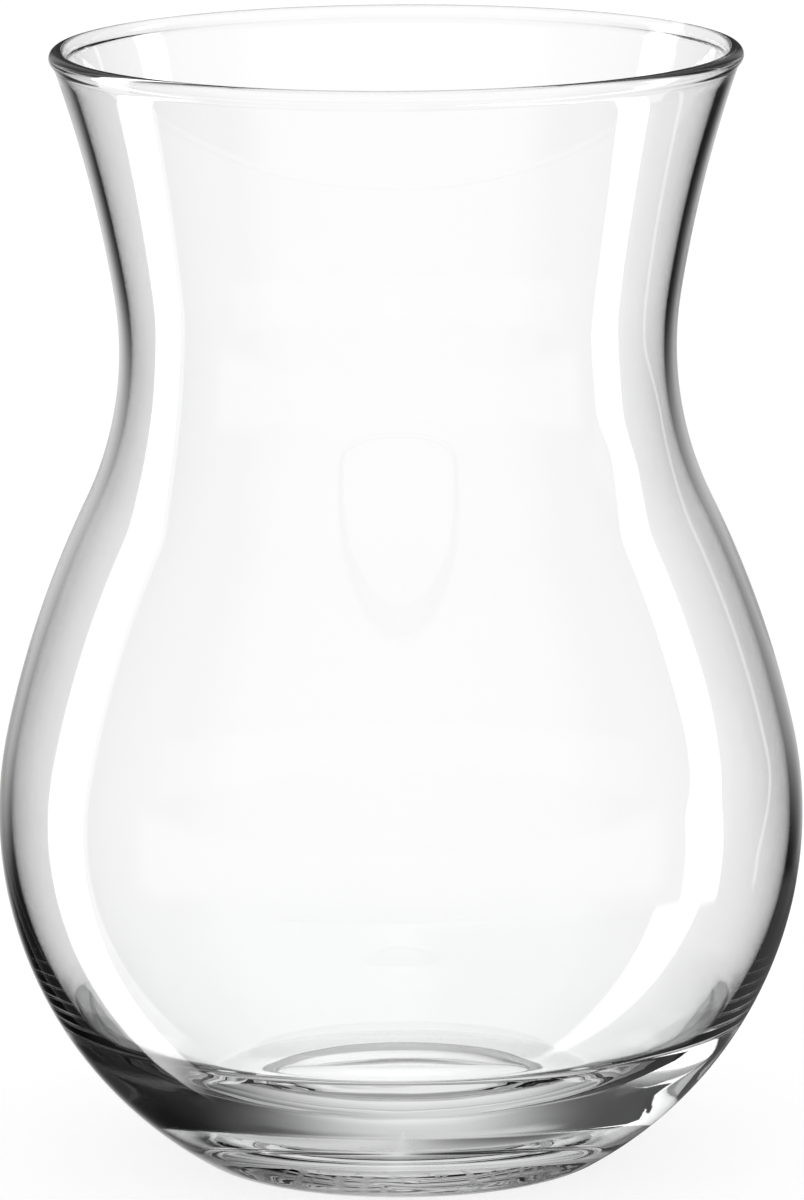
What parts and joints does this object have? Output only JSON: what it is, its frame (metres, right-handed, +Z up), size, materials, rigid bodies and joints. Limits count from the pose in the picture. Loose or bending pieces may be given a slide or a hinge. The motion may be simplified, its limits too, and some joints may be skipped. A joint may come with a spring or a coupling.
{
  "type": "glass vase",
  "caption": "Clear glass table vase: round bowl on a heavy base, drawn-in neck and flared mouth with a rounded lip.",
  "frame": {"origin": "centre of the foot, on the plane that the vase stands on", "axes": "+Z up along the axis of revolution, from the foot to the mouth; X and Y are level"},
  "size_m": [0.144, 0.144, 0.2],
  "materials": {
    "clear_glass": "clear, fire-polished"
  },
  "bodies": {
    "root": {"glass_body": "clear_glass"}
  },
  "joints": []
}
